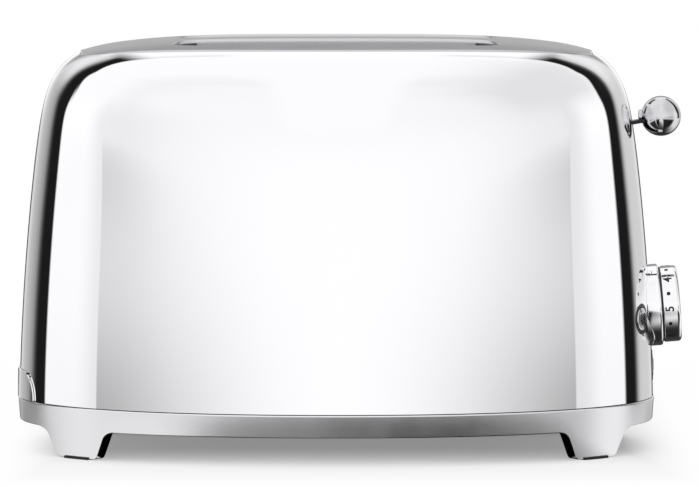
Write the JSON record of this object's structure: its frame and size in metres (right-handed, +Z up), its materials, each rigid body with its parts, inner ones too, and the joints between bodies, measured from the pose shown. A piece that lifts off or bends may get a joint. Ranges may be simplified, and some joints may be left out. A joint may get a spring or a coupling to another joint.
{
  "type": "toaster",
  "caption": "Retro long-body toaster: oval mirror-chrome shell, satin top panel with bread slots, cast base ring with feet, ball lever, browning knob, buttons and crumb tray.",
  "frame": {"origin": "on the floor, under the middle of the whole object's box", "axes": "+X along the length towards the lever and knob, -Y towards the front seen in the picture, +Z up"},
  "size_m": [0.3254, 0.195, 0.1999],
  "materials": {
    "polished_chrome": "mirror-polished nickel-chrome plating over pressed steel",
    "satin_steel": "fine satin-brushed stainless sheet",
    "satin_casting": "satin die-cast aluminium alloy",
    "black_rubber": "moulded matte rubber",
    "bright_button": "satin chrome-plated plastic",
    "black_plastic": "moulded heat-proof plastic",
    "arm_steel": "blackened steel",
    "zinc_steel": "zinc-coated sheet steel",
    "bright_steel": "bright drawn steel",
    "reflector_sheet": "bright aluminised sheet",
    "mica_sheet": "pressed mica sheet",
    "heating_ribbon": "oxidised nickel-chromium ribbon",
    "winding": "enamelled copper winding",
    "terminal_ceramic": "pale glazed terminal block",
    "circuit_board": "green solder-resist board"
  },
  "bodies": {
    "root": {"base_frame": "satin_casting", "board_components": "black_plastic", "board_screws": "bright_steel", "board_standoffs": "bright_steel", "bottom_cover": "zinc_steel", "button_ring_cancel": "black_plastic", "button_ring_defrost": "black_plastic", "button_ring_reheat": "black_plastic", "button_switches": "black_plastic", "chamber_floor": "zinc_steel", "control_board": "circuit_board", "control_bracket": "zinc_steel", "cord_cleats": "black_plastic", "cord_gland": "black_rubber", "cover_screws": "arm_steel", "end_plate_left": "zinc_steel", "end_plate_right": "zinc_steel", "foot_pads": "black_rubber", "guide_rods": "bright_steel", "heater_board_back": "mica_sheet", "heater_board_front": "mica_sheet", "heater_board_middle": "mica_sheet", "heater_wire_back": "heating_ribbon", "heater_wire_front": "heating_ribbon", "heater_wire_middle": "heating_ribbon", "knob_bezel": "polished_chrome", "magnet_coil": "winding", "magnet_core": "bright_steel", "mains_switch": "black_plastic", "mechanism_base": "zinc_steel", "mechanism_top": "zinc_steel", "outer_shell": "polished_chrome", "reflector_back": "reflector_sheet", "reflector_front": "reflector_sheet", "return_spring": "bright_steel", "terminal_block": "terminal_ceramic", "timer_nut": "bright_steel", "timer_unit": "black_plastic", "top_panel": "satin_steel", "tray_rails": "zinc_steel"},
    "lever": {"carriage": "zinc_steel", "lever_arm": "arm_steel", "lever_rivets": "bright_steel", "lever_knob": "polished_chrome", "bread_lifter_front": "zinc_steel", "bread_lifter_back": "zinc_steel", "armature": "bright_steel"},
    "dial": {"browning_knob": "polished_chrome", "timer_shaft": "bright_steel"},
    "reheat": {"button_reheat": "bright_button"},
    "defrost": {"button_defrost": "bright_button"},
    "cancel": {"button_cancel": "bright_button"},
    "tray": {"crumb_tray": "bright_steel", "tray_handle": "polished_chrome"},
    "guide_front_outer": {"bread_guide_front_outer": "bright_steel"},
    "guide_front_inner": {"bread_guide_front_inner": "bright_steel"},
    "guide_back_inner": {"bread_guide_back_inner": "bright_steel"},
    "guide_back_outer": {"bread_guide_back_outer": "bright_steel"}
  },
  "joints": [
    {"name": "lever_slide", "type": "slide", "parent": "root", "child": "lever", "axis": [0, 0, -1], "range_m": [0, 0.048], "stiffness_N_per_m": 80, "springref_m": -0.04, "deforming": ["return_spring"]},
    {"name": "browning_turn", "type": "hinge", "parent": "root", "child": "dial", "pos_m": [0.14628, 0, 0.0688], "axis": [-0.9971, 0, -0.0767], "range_deg": [-100, 150]},
    {"name": "reheat_press", "type": "slide", "parent": "root", "child": "reheat", "axis": [-0.9971, 0, -0.0767], "range_m": [0, 0.0015], "stiffness_N_per_m": 300, "springref_m": -0.002},
    {"name": "defrost_press", "type": "slide", "parent": "root", "child": "defrost", "axis": [-0.9971, 0, -0.0767], "range_m": [0, 0.0015], "stiffness_N_per_m": 300, "springref_m": -0.002},
    {"name": "cancel_press", "type": "slide", "parent": "root", "child": "cancel", "axis": [-0.9971, 0, -0.0767], "range_m": [0, 0.0015], "stiffness_N_per_m": 300, "springref_m": -0.002},
    {"name": "tray_slide", "type": "slide", "parent": "root", "child": "tray", "axis": [-1, 0, 0], "range_m": [0, 0.2]},
    {"name": "guide_front_outer_slide", "type": "slide", "parent": "root", "child": "guide_front_outer", "axis": [0, 1, 0], "range_m": [0, 0.007]},
    {"name": "guide_front_inner_slide", "type": "slide", "parent": "root", "child": "guide_front_inner", "axis": [0, -1, 0], "range_m": [0, 0.007]},
    {"name": "guide_back_inner_slide", "type": "slide", "parent": "root", "child": "guide_back_inner", "axis": [0, 1, 0], "range_m": [0, 0.007]},
    {"name": "guide_back_outer_slide", "type": "slide", "parent": "root", "child": "guide_back_outer", "axis": [0, -1, 0], "range_m": [0, 0.007]}
  ],
  "couplings": [
    {"joint": "guide_front_outer_slide", "follows": "lever_slide", "ratio": 0.1458},
    {"joint": "guide_front_inner_slide", "follows": "lever_slide", "ratio": 0.1458},
    {"joint": "guide_back_inner_slide", "follows": "lever_slide", "ratio": 0.1458},
    {"joint": "guide_back_outer_slide", "follows": "lever_slide", "ratio": 0.1458}
  ]
}
